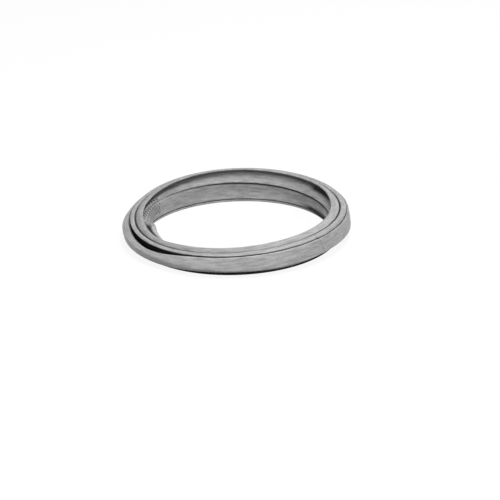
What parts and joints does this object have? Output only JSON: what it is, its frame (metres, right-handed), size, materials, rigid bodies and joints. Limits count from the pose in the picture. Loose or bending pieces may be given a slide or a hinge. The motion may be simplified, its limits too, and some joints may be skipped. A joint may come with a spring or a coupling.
{
  "type": "washing machine door seal",
  "caption": "Round bellows seal of grey rubber for a front loading washing machine: door lip, wire groove, bead, panel slot, wide hollow skirt, folded inner wall and ribbed tub ring.",
  "frame": {"origin": "centre of the seal's outline, at the flat seat of its tub ring", "axes": "+Z from the tub ring up to the door lip, +Y towards the side where the soft top stands highest, -X towards the bulge of the inner wall"},
  "size_m": [0.3728, 0.3746, 0.0594],
  "materials": {
    "rubber": "satin"
  },
  "bodies": {
    "root": {"door_seal": "rubber"}
  },
  "joints": []
}
